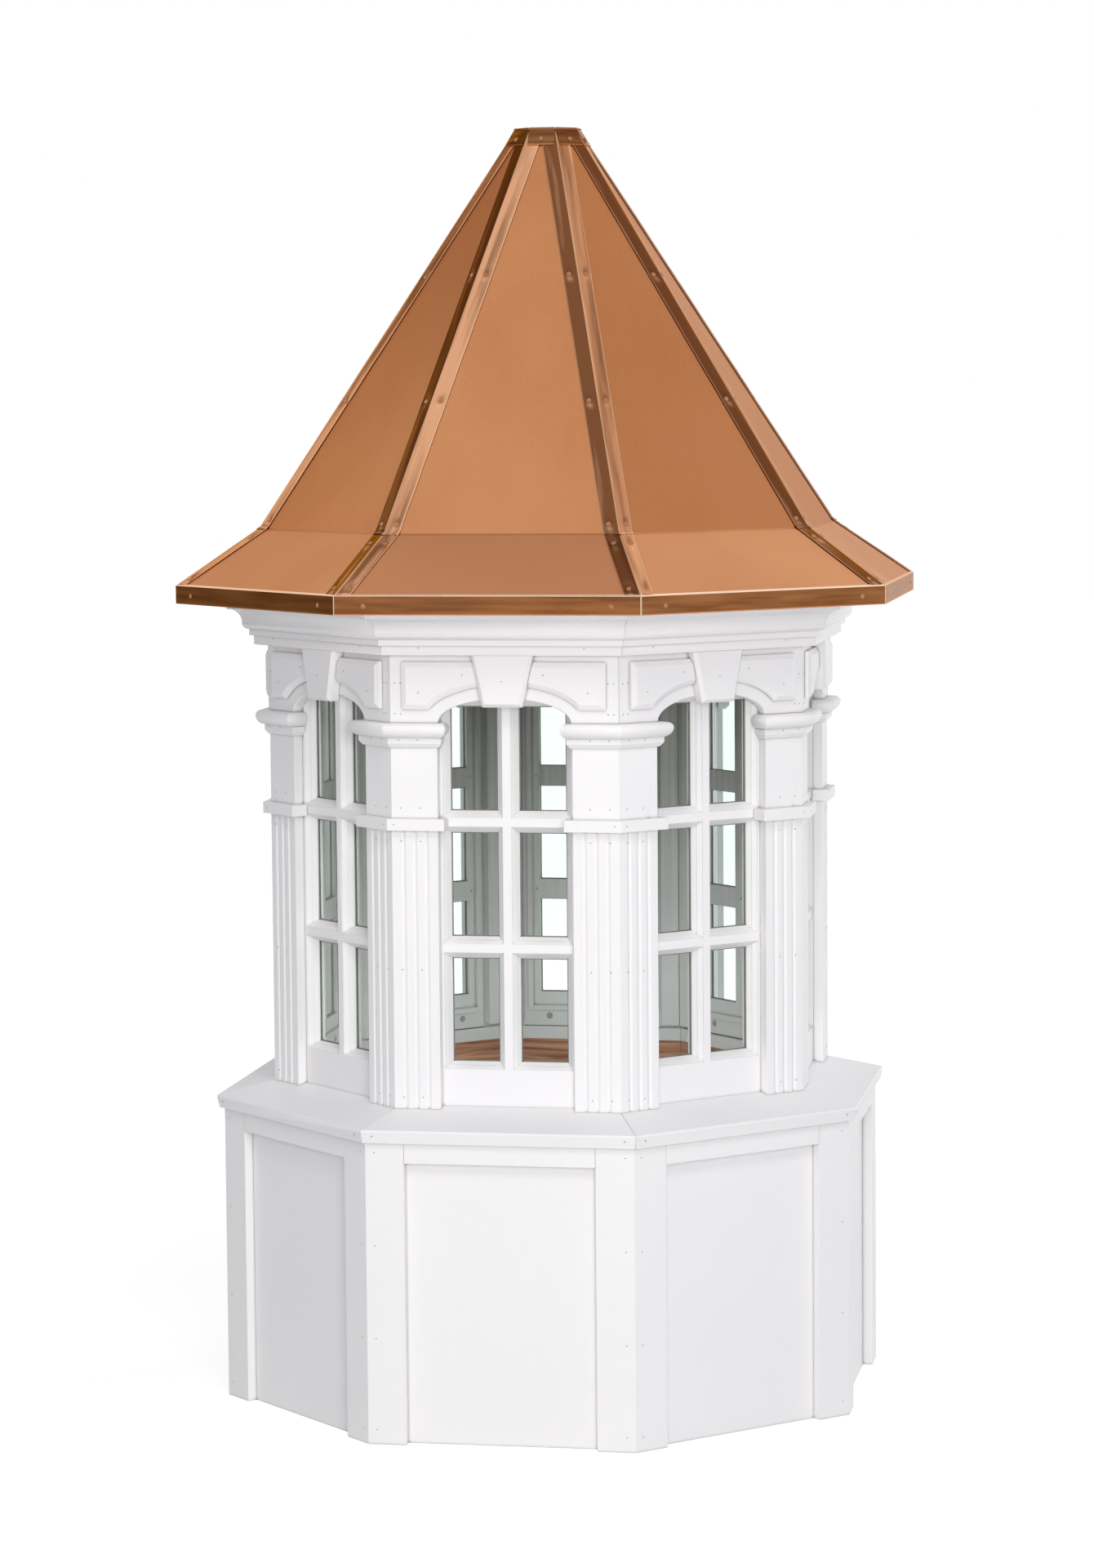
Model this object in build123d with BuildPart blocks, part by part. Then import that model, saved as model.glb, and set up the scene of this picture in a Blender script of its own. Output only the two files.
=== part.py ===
"""Eight-sided roof cupola: panelled base, glazed lantern with arched heads, copper roof."""

from build123d import *
from math import atan2, cos, degrees, radians, sin, tan
import os

os.makedirs("parts", exist_ok=True)

# Plan: one name for each side, going round from the front towards +X
SIDES = ["front", "front_right", "right", "back_right", "back", "back_left", "left", "front_left"]
side_angle = 360 / len(SIDES)
half_angle = radians(side_angle / 2)

# Joints and thicknesses shared by several pieces, in millimetres
mitre_gap = 0.4
trim_thickness = 19.0
copper_thickness = 2.0
strip_thickness = 1.5

# Base
base_apothem = 609.6
base_height = 593.5
base_wall_thickness = 19.0
corner_board_width = 72.5
base_rail_height = 40.0

# Sloping cap board on top of the base, and the timber curb under it
cap_overhang = 14.8
cap_slope = 12.9
cap_thickness = 25.4
cap_ledge = 18.0
cap_edge_chamfer = 3.0
cap_reveal = 1.5
curb_thickness = 38.0
curb_height = 89.0

# Columns
lantern_setback = 91.8
column_board_width = 87.5
groove_count = 3
groove_width = 10.0
groove_depth = 2.8

# Square band round each column, above the fluted shaft
fluted_height = 548.4
band_height = 21.9
band_projection = 14.5

# Capital: bevelled foot and a nosing that is round above and below
plain_height = 132.5
foot_height = 17.7
foot_bevel_width = 6.0
foot_bevel_height = 7.8
foot_projection = 9.5
foot_lip = 1.5
nosing_height = 28.1
nosing_top_radius = 10.0
nosing_projection = 26.0
nosing_return = 19.4

# Arch header board, a little proud of the columns
header_height = 126.9
header_lip = 2.0
arch_rise = 44.7
arch_overhang = 2.3
arch_edge_chamfer = 2.0

# Raised spandrel panels beside the keystone
panel_side_margin = 23.5
panel_top_margin = 13.3
panel_bottom_rise = 25.4
panel_arch_margin = 26.0
panel_projection = 12.7
panel_bevel_width = 9.5
panel_bevel_depth = 5.3

# Keystone
keystone_top_width = 116.0
keystone_bottom_width = 75.0
keystone_drop = 14.0
keystone_projection = 24.0
keystone_bevel = 6.0

# Cornice: fascia board, then a crown with fillet, ovolo and cove, up to a lip
fascia_height = 18.0
fascia_projection = 25.2
fillet_height = 11.5
fillet_projection = 33.2
ovolo_radius = 13.0
cove_quirk = 1.5
cove_radius = 25.0
crown_lip = 2.0
crown_lip_height = 14.8

# Windows
sash_thickness = 34.9
sash_stile_show = 5.5
sash_rail_rise = 98.8
head_rail_show = 3.8
lite_columns = 2
lite_rows = 3
bar_width = 16.4
moulding_quirk = 2.0
ovolo_width = 6.4
ovolo_depth = 8.5
moulding_step = 1.5
bead_width = 5.6
bead_depth = 8.5
glass_depth = 23.0
glass_thickness = 4.0
glass_bite = 6.0
glass_clearance = 0.3

# Roof surface, seen in section
eave_overhang = 163.7
eave_drop = 32.6
flare_run = 152.9
flare_rise = 109.9
steep_rise = 764.5
top_apothem = 56.3

# Roof construction
deck_thickness = 12.0
soffit_thickness = 19.0
soffit_rise = 2.4
eave_hem = 8.0
eave_lip = 4.5
panel_hip_gap = 3.0
hip_flange_width = 30.5
hip_lap = 6.0
collar_width = 52.0
collar_height = 34.5
top_rim = 1.5

# Distances out from the axis, worked out from the sizes above
wall_apothem = base_apothem - trim_thickness
cap_outer_apothem = base_apothem + cap_overhang
column_apothem = base_apothem - lantern_setback
header_apothem = column_apothem + header_lip
sash_apothem = column_apothem - trim_thickness
sash_back = sash_apothem - sash_thickness
cap_inner_apothem = sash_back - cap_ledge
eave_apothem = header_apothem + eave_overhang
eave_face = eave_apothem - copper_thickness
break_apothem = eave_apothem - flare_run
reach = 2 * eave_apothem

# Heights, stacked from the floor up
band_bottom = base_height + fluted_height
band_top = band_bottom + band_height
capital_bottom = band_top + plain_height
foot_top = capital_bottom + foot_height
spring_height = foot_top + nosing_height
cornice_bottom = spring_height + header_height
crown_bottom = cornice_bottom + fascia_height
ovolo_foot = crown_bottom + fillet_height
cove_foot = ovolo_foot + ovolo_radius + cove_quirk
soffit_bottom = cove_foot + cove_radius + crown_lip_height
soffit_top = soffit_bottom + soffit_thickness
eave_bottom = soffit_bottom - soffit_rise
eave_height = eave_bottom + eave_drop
break_height = eave_height + flare_rise
top_height = break_height + steep_rise
roof_top = top_height - copper_thickness

# Slopes, and widths along one side
cap_rise = tan(radians(cap_slope))
flare_slope = atan2(flare_rise, flare_run)
steep_slope = atan2(steep_rise, break_apothem - top_apothem)
layer_bottom = copper_thickness + deck_thickness
column_inner = column_apothem * tan(half_angle) - column_board_width
arch_half_width = column_inner - arch_overhang
light_half_width = column_inner - sash_stile_show
light_bottom = base_height + sash_rail_rise
light_height = spring_height + arch_rise - head_rail_show - light_bottom
light_middle = light_bottom + light_height / 2
lite_width = (2 * light_half_width - (lite_columns - 1) * bar_width) / lite_columns
lite_height = (light_height - (lite_rows - 1) * bar_width) / lite_rows

# The radial plane has x outwards from the axis; the corner plane stands on a mitre line
radial = Plane(origin=(0, 0, 0), x_dir=(0, -1, 0), z_dir=(-1, 0, 0))
corner = Plane(
    origin=(0, 0, 0),
    x_dir=(sin(half_angle), -cos(half_angle), 0),
    z_dir=(cos(half_angle), sin(half_angle), 0),
)

# Section planes of a column moulding: x outwards from the face, and from the side, of its board
column_face = Plane(origin=(0, -column_apothem, 0), x_dir=(0, -1, 0), z_dir=(-1, 0, 0))
column_side = Plane(origin=(column_inner, 0, 0), x_dir=(-1, 0, 0), z_dir=(0, 1, 0))


def half_width(apothem):
    """Half the width of one side of the octagon."""
    return apothem * tan(half_angle)


def cap_top(apothem):
    """Height of the sloping cap's upper face."""
    return base_height + (cap_outer_apothem - apothem) * cap_rise


def cap_under(apothem):
    """Height of the cap's lower face."""
    return cap_top(apothem) - cap_thickness / cos(radians(cap_slope))


def flare_height(apothem, depth):
    """Height of a layer of the flared eave that lies depth below the roof's surface."""
    return eave_height + (eave_apothem - apothem) * tan(flare_slope) - depth / cos(flare_slope)


def steep_apothem(height, depth):
    """Apothem, at a height, of a layer of the steep roof that lies depth below its surface."""
    return break_apothem - (height - break_height + depth / cos(steep_slope)) / tan(steep_slope)


def roof_break(flare_depth, steep_depth):
    """Point where a layer of the flare meets a layer of the steep roof."""
    shift = steep_depth / cos(steep_slope) - flare_depth / cos(flare_slope)
    apothem = break_apothem - shift / (tan(steep_slope) - tan(flare_slope))
    return (apothem, flare_height(apothem, flare_depth))


def face_plane(apothem):
    """Upright plane on the front side, seen from outside."""
    return Plane(origin=(0, -apothem, 0), x_dir=(1, 0, 0), z_dir=(0, -1, 0))


def inward_plane(depth):
    """Upright plane in the window, depth behind its face, that looks inwards."""
    return Plane(origin=(0, depth - sash_apothem, light_middle), x_dir=(-1, 0, 0), z_dir=(0, 1, 0))


def outline(*points):
    """Straight-sided face through the points, in the open sketch."""
    Polygon(*points, align=None)


def run_section(*points):
    """Run a radial section along the whole front side."""
    with BuildSketch(radial) as section:
        outline(*points)
    extrude(section.sketch, amount=half_width(reach), both=True)


def cut_to_side(gap):
    """Cut both ends on the mitre lines, each held back by half the gap."""
    tip = gap / 2 / sin(half_angle)
    far = half_width(reach - tip)
    with BuildSketch(Plane.XY) as sector:
        outline((0, -tip), (far, -reach), (-far, -reach))
    extrude(sector.sketch, amount=2 * top_height, mode=Mode.INTERSECT)


def cut_to_width(half):
    """Keep the middle of the side, between upright cuts."""
    with BuildSketch(Plane.XY) as middle:
        outline((-half, 0), (half, 0), (half, -reach), (-half, -reach))
    extrude(middle.sketch, amount=2 * top_height, mode=Mode.INTERSECT)


def cut_to_hip_strip():
    """Keep a strip beside the right-hand mitre line, no further in than the side's centre line."""
    flange_start = hip_flange_width / tan(half_angle)
    with BuildSketch(Plane.XY) as strip:
        outline(
            (mitre_gap, -mitre_gap / tan(half_angle)),
            (half_width(reach), -reach),
            (half_width(reach) - hip_flange_width, -reach),
            (mitre_gap, -flange_start - mitre_gap / tan(half_angle)),
        )
    extrude(strip.sketch, amount=2 * top_height, mode=Mode.INTERSECT)


def corner_block(inner, back, front, low, high, mode=Mode.ADD):
    """Upright block from its inner edge to the mitre line at the front side's right corner."""
    with BuildSketch(Plane.XY.offset(low)) as board:
        outline((inner, -back), (inner, -front), (half_width(front), -front), (half_width(back), -back))
    extrude(board.sketch, amount=high - low, mode=mode)


def capital_line(projection, behind):
    """Section of a capital, out from a face of the board and back behind it, in the open line."""
    Polyline((-behind, spring_height), (projection - nosing_top_radius, spring_height))
    nose = (projection, spring_height - nosing_top_radius)
    TangentArc((projection - nosing_top_radius, spring_height), nose, tangent=(1, 0))
    TangentArc(nose, (foot_projection - foot_lip, foot_top), tangent=(0, -1))
    Polyline(
        (foot_projection - foot_lip, foot_top),
        (foot_projection, foot_top),
        (foot_projection, capital_bottom + foot_bevel_height),
        (foot_projection - foot_bevel_width, capital_bottom),
        (-behind, capital_bottom),
        (-behind, spring_height),
    )


def lite_grid():
    """Middles of the lites, about the middle of the window."""
    return GridLocations(lite_width + bar_width, lite_height + bar_width, lite_columns, lite_rows)


def stand_on_cap():
    """Cut the foot of an upright piece to the slope of the cap."""
    split(
        bisect_by=Plane(origin=(0, -cap_outer_apothem, base_height), z_dir=(0, -cap_rise, 1)),
        keep=Keep.TOP,
    )


def tuck_under_cap(gap):
    """Cut the head of an upright piece to the slope of the cap, a gap below it."""
    split(
        bisect_by=Plane(origin=(0, -base_apothem, cap_under(base_apothem) - gap), z_dir=(0, -cap_rise, 1)),
        keep=Keep.BOTTOM,
    )


def save(name, piece):
    piece.label = name
    export_step(piece, f"parts/{name}.step")


def save_at_side(name, piece, index):
    """Write one copy, turned to its own side or corner."""
    with BuildPart() as placed:
        with PolarLocations(0, 1, start_angle=index * side_angle):
            add(piece)
    save(name, placed.part)


def save_ring(name, piece):
    """Write one copy for each side or corner, all in one file."""
    with BuildPart() as ring:
        with PolarLocations(0, len(SIDES)):
            add(piece)
    save(name, ring.part)


# Base walls, with their heads cut to the slope of the cap
with BuildPart() as base_wall:
    inner = wall_apothem - base_wall_thickness
    run_section((inner, 0), (wall_apothem, 0), (wall_apothem, base_height), (inner, base_height))
    cut_to_side(mitre_gap)
    tuck_under_cap(0)
for index, side in enumerate(SIDES):
    save_at_side(f"base_wall_{side}", base_wall.part, index)

# Corner boards of the base, two boards mitred round each corner
with BuildPart() as corner_board:
    edge = half_width(base_apothem) - corner_board_width
    corner_block(edge, wall_apothem, base_apothem, 0, base_height)
    tuck_under_cap(cap_reveal)
    mirror(about=corner)
save_ring("base_corner_boards", corner_board.part)

# Top rails of the base, between the corner boards
with BuildPart() as base_rail:
    low = cap_under(base_apothem) - base_rail_height
    run_section(
        (wall_apothem, low),
        (base_apothem, low),
        (base_apothem, base_height),
        (wall_apothem, base_height),
    )
    cut_to_width(half_width(base_apothem) - corner_board_width - mitre_gap)
    tuck_under_cap(cap_reveal)
save_ring("base_top_rails", base_rail.part)

# Sloping cap, one mitred board to each side, with its outer edge square to the slope
with BuildPart() as cap_board:
    edge_in = cap_thickness * sin(radians(cap_slope))
    edge_low = base_height - cap_thickness * cos(radians(cap_slope))
    run_section(
        (cap_inner_apothem, cap_under(cap_inner_apothem)),
        (cap_outer_apothem - edge_in, edge_low),
        (cap_outer_apothem, base_height),
        (cap_inner_apothem, cap_top(cap_inner_apothem)),
    )
    chamfer(cap_board.edges().filter_by(Axis.X).sort_by(Axis.Y)[0], cap_edge_chamfer)
    cut_to_side(mitre_gap)
save_ring("base_cap", cap_board.part)

# Timber curb under the inner edge of the cap
with BuildPart() as curb:
    outer = cap_inner_apothem + curb_thickness
    low = cap_under(outer) - curb_height
    run_section(
        (cap_inner_apothem, low),
        (outer, low),
        (outer, cap_under(outer)),
        (cap_inner_apothem, cap_under(cap_inner_apothem)),
    )
    cut_to_side(mitre_gap)
save_ring("timber_curb", curb.part)

# Fluted columns: two boards mitred together at each corner, grooved from the cap to the band
with BuildPart() as column:
    corner_block(column_inner, sash_apothem, column_apothem, base_height, spring_height)
    stand_on_cap()
    for number in range(groove_count):
        middle = column_inner + column_board_width * (number + 1) / (groove_count + 1)
        with BuildSketch(Plane.XY.offset(base_height)):
            outline(
                (middle - groove_width / 2, -column_apothem),
                (middle + groove_width / 2, -column_apothem),
                (middle, groove_depth - column_apothem),
            )
        extrude(amount=fluted_height + band_height / 2, mode=Mode.SUBTRACT)
    mirror(about=corner)
for index in range(len(SIDES)):
    save_at_side(f"column_{index + 1}", column.part, index)

# Square bands part way up the columns, returned round the edges of the boards
with BuildPart() as band:
    corner_block(
        column_inner - band_projection, sash_apothem, column_apothem + band_projection, band_bottom, band_top
    )
    corner_block(column_inner, sash_apothem, column_apothem, band_bottom, band_top, Mode.SUBTRACT)
    mirror(about=corner)
save_ring("column_bands", band.part)

# Capitals: a bevelled foot and a round nosing, mitred at the corner and returned round the boards
with BuildPart() as capital:
    with BuildSketch(column_face):
        with BuildLine():
            capital_line(nosing_projection, trim_thickness)
        make_face()
    extrude(amount=half_width(reach), both=True)
    with BuildSketch(column_side):
        with BuildLine():
            capital_line(nosing_return, reach)
        make_face()
    extrude(amount=reach, both=True, mode=Mode.INTERSECT)
    split(bisect_by=corner, keep=Keep.BOTTOM)
    corner_block(column_inner, sash_apothem, column_apothem, capital_bottom, spring_height, Mode.SUBTRACT)
    mirror(about=corner)
save_ring("column_capitals", capital.part)

# Arch header boards, over the columns and up to the soffit
with BuildPart() as arch_header:
    with BuildSketch(face_plane(header_apothem)):
        with Locations((0, spring_height)):
            Rectangle(reach, soffit_bottom - spring_height, align=(Align.CENTER, Align.MIN))
            Ellipse(arch_half_width, arch_rise, mode=Mode.SUBTRACT)
    extrude(amount=sash_apothem - header_apothem)
    chamfer(arch_header.edges().filter_by(GeomType.ELLIPSE).sort_by(Axis.Y)[0], arch_edge_chamfer)
    cut_to_side(mitre_gap)
save_ring("arch_headers", arch_header.part)

# Keystones, bevelled at the sides and the foot
with BuildPart() as keystone:
    low = spring_height + arch_rise - keystone_drop
    with BuildSketch(face_plane(header_apothem)):
        outline(
            (-keystone_bottom_width / 2, low),
            (keystone_bottom_width / 2, low),
            (keystone_top_width / 2, cornice_bottom),
            (-keystone_top_width / 2, cornice_bottom),
        )
    extrude(amount=keystone_projection)
    chamfer(keystone.faces().sort_by(Axis.Y)[0].edges().sort_by(Axis.Z)[:-1], keystone_bevel)
save_ring("keystones", keystone.part)

# Raised spandrel panels, a bevelled pair to each side, cut by the arch and the keystone
with BuildPart() as spandrels:
    low = spring_height + panel_bottom_rise
    high = cornice_bottom - panel_top_margin
    side = half_width(header_apothem) - panel_side_margin
    with BuildSketch(face_plane(header_apothem)):
        outline((-side, low), (side, low), (side, high), (-side, high))
        with Locations((0, spring_height)):
            Ellipse(
                arch_half_width + panel_arch_margin,
                arch_rise + panel_arch_margin,
                mode=Mode.SUBTRACT,
            )
    extrude(amount=panel_projection)
    front = spandrels.faces().sort_by(Axis.Y)[0]
    chamfer(front.edges(), panel_bevel_width, panel_bevel_depth, reference=front)
    add(keystone.part, mode=Mode.SUBTRACT)
save_ring("spandrel_panels", spandrels.part)

# Cornice fascia boards
with BuildPart() as fascia:
    face = header_apothem + fascia_projection
    run_section(
        (header_apothem, cornice_bottom),
        (face, cornice_bottom),
        (face, crown_bottom),
        (header_apothem, crown_bottom),
    )
    cut_to_side(mitre_gap)
save_ring("cornice_fascia", fascia.part)

# Crown mouldings: fillet, ovolo and cove, up to the soffit
with BuildPart() as crown:
    face = header_apothem + fillet_projection
    ovolo_out = face + ovolo_radius
    cove_out = ovolo_out + cove_radius
    with BuildSketch(radial):
        with BuildLine():
            Polyline((header_apothem, crown_bottom), (face, crown_bottom), (face, ovolo_foot))
            TangentArc((face, ovolo_foot), (ovolo_out, ovolo_foot + ovolo_radius), tangent=(1, 0))
            Line((ovolo_out, ovolo_foot + ovolo_radius), (ovolo_out, cove_foot))
            TangentArc((ovolo_out, cove_foot), (cove_out, cove_foot + cove_radius), tangent=(0, 1))
            Polyline(
                (cove_out, cove_foot + cove_radius),
                (cove_out + crown_lip, cove_foot + cove_radius),
                (cove_out + crown_lip, soffit_bottom),
                (header_apothem, soffit_bottom),
                (header_apothem, crown_bottom),
            )
        make_face()
    extrude(amount=half_width(reach), both=True)
    cut_to_side(mitre_gap)
save_ring("cornice_crown", crown.part)

# Windows: one framed wall panel to each side, with an ovolo and a bead round each lite
with BuildPart() as window:
    run_section(
        (sash_back, base_height),
        (sash_apothem, base_height),
        (sash_apothem, soffit_bottom),
        (sash_back, soffit_bottom),
    )
    cut_to_side(mitre_gap)
    stand_on_cap()
    bead_start = moulding_quirk + ovolo_depth
    for inset, start, end, run_in in (
        (0, 0, moulding_quirk, 0),
        (0, moulding_quirk, bead_start, ovolo_width),
        (ovolo_width, bead_start, bead_start + moulding_step, 0),
        (ovolo_width, bead_start + moulding_step, bead_start + moulding_step + bead_depth, bead_width),
        (ovolo_width + bead_width, bead_start + moulding_step + bead_depth, sash_thickness, 0),
    ):
        with BuildSketch(inward_plane(start)):
            with lite_grid():
                Rectangle(lite_width - 2 * inset, lite_height - 2 * inset)
        extrude(amount=end - start, taper=degrees(atan2(run_in, end - start)), mode=Mode.SUBTRACT)
    moulding_width = ovolo_width + bead_width
    slot_width = 2 * (light_half_width - moulding_width + glass_bite)
    slot_height = light_height - 2 * moulding_width + 2 * glass_bite
    with BuildSketch(inward_plane(glass_depth)):
        Rectangle(slot_width, slot_height)
    extrude(amount=glass_thickness + glass_clearance, mode=Mode.SUBTRACT)
for index, side in enumerate(SIDES):
    save_at_side(f"window_{side}", window.part, index)

# One sheet of glass in the slot through the frame and bars of each window
with BuildPart() as glass:
    with BuildSketch(inward_plane(glass_depth)):
        Rectangle(slot_width - 2 * glass_clearance, slot_height - 2 * glass_clearance)
    extrude(amount=glass_thickness)
save_ring("window_glass", glass.part)

# Soffit boards, on top of the window walls and out to the eave
with BuildPart() as soffit:
    run_section(
        (sash_back, soffit_bottom),
        (eave_face, soffit_bottom),
        (eave_face, soffit_top),
        (sash_back, soffit_top),
    )
    cut_to_side(mitre_gap)
save_ring("soffit", soffit.part)

# Plywood deck under the copper: flare boards seated on the soffit, and steep boards above them
with BuildPart() as deck:
    seat = eave_apothem - (soffit_top - flare_height(eave_apothem, layer_bottom)) / tan(flare_slope)
    run_section(
        (eave_face, flare_height(eave_face, copper_thickness)),
        (eave_face, soffit_top),
        (seat, soffit_top),
        roof_break(layer_bottom, layer_bottom),
        roof_break(copper_thickness, copper_thickness),
    )
    cut_to_side(mitre_gap)
with BuildPart() as steep_deck:
    foot_in = roof_break(layer_bottom, layer_bottom)[1] + mitre_gap
    foot_out = roof_break(copper_thickness, copper_thickness)[1] + mitre_gap
    run_section(
        (steep_apothem(foot_in, layer_bottom), foot_in),
        (steep_apothem(roof_top, layer_bottom), roof_top),
        (steep_apothem(roof_top, copper_thickness), roof_top),
        (steep_apothem(foot_out, copper_thickness), foot_out),
    )
    cut_to_side(mitre_gap)
    add(deck.part)
save_ring("roof_deck", steep_deck.part)

# Copper sheets of the flare, held apart at the hips
with BuildPart() as flare_panel:
    run_section(
        (eave_face, flare_height(eave_face, 0)),
        (eave_face, flare_height(eave_face, copper_thickness)),
        roof_break(copper_thickness, copper_thickness),
        roof_break(0, 0),
    )
    cut_to_side(2 * panel_hip_gap)
save_ring("flare_panels", flare_panel.part)

# Copper sheets of the steep roof
with BuildPart() as roof_panel:
    run_section(
        roof_break(0, 0),
        roof_break(copper_thickness, copper_thickness),
        (steep_apothem(roof_top, copper_thickness), roof_top),
        (steep_apothem(roof_top, 0), roof_top),
    )
    cut_to_side(2 * panel_hip_gap)
save_ring("roof_panels", roof_panel.part)

# Copper drip edge: bottom hem, upright face, and a lip folded over the sheets
with BuildPart() as drip_edge:
    lip_end = eave_apothem - eave_lip
    run_section(
        (eave_face - eave_hem, eave_bottom),
        (eave_apothem, eave_bottom),
        (eave_apothem, flare_height(eave_apothem, -strip_thickness)),
        (lip_end, flare_height(lip_end, -strip_thickness)),
        (lip_end, flare_height(lip_end, 0)),
        (eave_face, flare_height(eave_face, 0)),
        (eave_face, eave_bottom + copper_thickness),
        (eave_face - eave_hem, eave_bottom + copper_thickness),
    )
    cut_to_side(mitre_gap)
save_ring("eave_drip_edge", drip_edge.part)

# Folded copper hip caps of the flare
with BuildPart() as flare_hip:
    low = lip_end - mitre_gap
    run_section(
        (low, flare_height(low, 0)),
        (low, flare_height(low, -strip_thickness)),
        roof_break(-strip_thickness, 0),
        roof_break(0, 0),
    )
    cut_to_hip_strip()
    mirror(about=corner)
save_ring("flare_hip_caps", flare_hip.part)

# Folded copper hip caps of the steep roof, lapped over those of the flare
with BuildPart() as steep_hip:
    lap_end = break_apothem + hip_lap
    run_section(
        roof_break(-strip_thickness, 0),
        (steep_apothem(roof_top, 0), roof_top),
        (steep_apothem(roof_top, -strip_thickness), roof_top),
        roof_break(-2 * strip_thickness, -strip_thickness),
        (lap_end, flare_height(lap_end, -2 * strip_thickness)),
        (lap_end, flare_height(lap_end, -strip_thickness)),
    )
    cut_to_hip_strip()
    mirror(about=corner)
save_ring("hip_caps", steep_hip.part)

# Collar plates over the heads of the hip caps
with BuildPart() as collar:
    low = top_height - collar_height
    run_section(
        (steep_apothem(low, -strip_thickness), low),
        (steep_apothem(low, -2 * strip_thickness), low),
        (steep_apothem(roof_top, -2 * strip_thickness), roof_top),
        (steep_apothem(roof_top, -strip_thickness), roof_top),
    )
    cut_to_side(mitre_gap)
    cut_to_width(collar_width / 2)
save_ring("top_collar", collar.part)

# Flat copper plate that closes the top
with BuildPart() as top_plate:
    with BuildSketch(Plane.XY.offset(roof_top)):
        RegularPolygon(
            steep_apothem(roof_top, -2 * strip_thickness) + top_rim,
            len(SIDES),
            major_radius=False,
            rotation=side_angle / 2,
        )
    extrude(amount=copper_thickness)
save("top_plate", top_plate.part)
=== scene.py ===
"""Eight-sided roof cupola: white cellular PVC base and lantern, clear glass, new copper roof."""

from math import atan2, cos, exp, hypot, pi, radians, sin, tan

import bmesh
import bpy
from mathutils import Matrix, Vector, noise


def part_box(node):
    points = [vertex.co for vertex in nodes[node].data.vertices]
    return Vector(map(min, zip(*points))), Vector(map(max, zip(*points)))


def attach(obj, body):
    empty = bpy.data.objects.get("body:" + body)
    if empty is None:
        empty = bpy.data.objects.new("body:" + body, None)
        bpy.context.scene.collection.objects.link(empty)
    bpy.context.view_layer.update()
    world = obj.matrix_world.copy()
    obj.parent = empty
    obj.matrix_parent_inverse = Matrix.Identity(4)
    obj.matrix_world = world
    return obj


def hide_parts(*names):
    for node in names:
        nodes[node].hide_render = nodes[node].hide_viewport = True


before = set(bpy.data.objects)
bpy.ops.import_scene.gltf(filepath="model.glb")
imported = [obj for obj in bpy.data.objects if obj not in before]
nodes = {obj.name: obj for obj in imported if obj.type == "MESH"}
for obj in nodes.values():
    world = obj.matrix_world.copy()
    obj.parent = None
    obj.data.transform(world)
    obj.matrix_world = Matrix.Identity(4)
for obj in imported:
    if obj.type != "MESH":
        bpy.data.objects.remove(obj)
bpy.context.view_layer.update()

# Studio camera. It stands 8.7 m away, a little to the right of the front side and as high as
# the middle of the roof, and looks slightly down through a long lens.
view_distance = 8.652
view_height = 1.982
view_azimuth = radians(9.934)
view_heading = radians(10.012)
view_pitch = radians(5.285)
view_roll = radians(-0.4745)
focal_pixels = 5413.0
picture_height = 1920

camera = bpy.data.objects.new("camera", bpy.data.cameras.new("camera"))
bpy.context.scene.collection.objects.link(camera)
camera.data.lens = focal_pixels * camera.data.sensor_width / picture_height
camera.matrix_world = (
    Matrix.Translation((
        view_distance * sin(view_azimuth),
        -view_distance * cos(view_azimuth),
        view_height,
    ))
    @ Matrix.Rotation(view_heading, 4, "Z")
    @ Matrix.Rotation(pi / 2 - view_pitch, 4, "X")
    @ Matrix.Rotation(view_roll, 4, "Z")
)
bpy.context.scene.camera = camera
bpy.context.scene.view_settings.view_transform = "Standard"


def node(tree, kind, values=(), links=(), **settings):
    """Add one node with its settings, its socket values and its links."""
    made = tree.nodes.new(kind)
    for name, value in settings.items():
        setattr(made, name, value)
    for name, value in dict(values).items():
        made.inputs[name].default_value = value
    for name, source in dict(links).items():
        tree.links.new(source, made.inputs[name])
    return made


def linear(colour):
    """Linear colour of an sRGB hex value."""
    parts = [int(colour[start:start + 2], 16) / 255 for start in (1, 3, 5)]
    return [*(c / 12.92 if c <= 0.04045 else ((c + 0.055) / 1.055) ** 2.4 for c in parts), 1]


# Daylight studio. The room is plain white behind the object and in its reflections. It lights
# the left side with soft white light and the right side with dimmer, cooler light.
room_light = 0.62
room_white = "#FFFFFF"
left_fill = "#D6D7DB"
right_fill = "#A3A9B5"
fill_left = -0.7
fill_right = 0.9


def shows_room(tree):
    """Whether a ray shows the room itself: straight, through the glass, or in a reflection."""
    path = node(tree, "ShaderNodeLightPath")
    straight = node(tree, "ShaderNodeMath", operation="MAXIMUM",
                    links={0: path.outputs["Is Camera Ray"], 1: path.outputs["Is Transmission Ray"]})
    shown = node(tree, "ShaderNodeMath", links={0: straight.outputs[0], 1: path.outputs["Is Glossy Ray"]},
                 operation="MAXIMUM")
    return shown.outputs[0]


world = bpy.data.worlds.new("white_room")
bpy.context.scene.world = world
world.use_nodes = True
tree = world.node_tree
tree.nodes.clear()
way = node(tree, "ShaderNodeTexCoord")
parts = node(tree, "ShaderNodeSeparateXYZ", links={0: way.outputs["Generated"]})
across = node(tree, "ShaderNodeMapRange", {"From Min": fill_left, "From Max": fill_right},
              {"Value": parts.outputs["X"]})
fill = node(tree, "ShaderNodeMix", {6: linear(left_fill), 7: linear(right_fill)},
            {0: across.outputs[0]}, data_type="RGBA")
room = node(tree, "ShaderNodeBackground", {"Strength": room_light}, {"Color": fill.outputs[2]})
white = node(tree, "ShaderNodeBackground", {"Color": linear(room_white), "Strength": 1.0})
both = node(tree, "ShaderNodeMixShader", links={0: shows_room(tree), 1: room.outputs[0], 2: white.outputs[0]})
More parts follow.
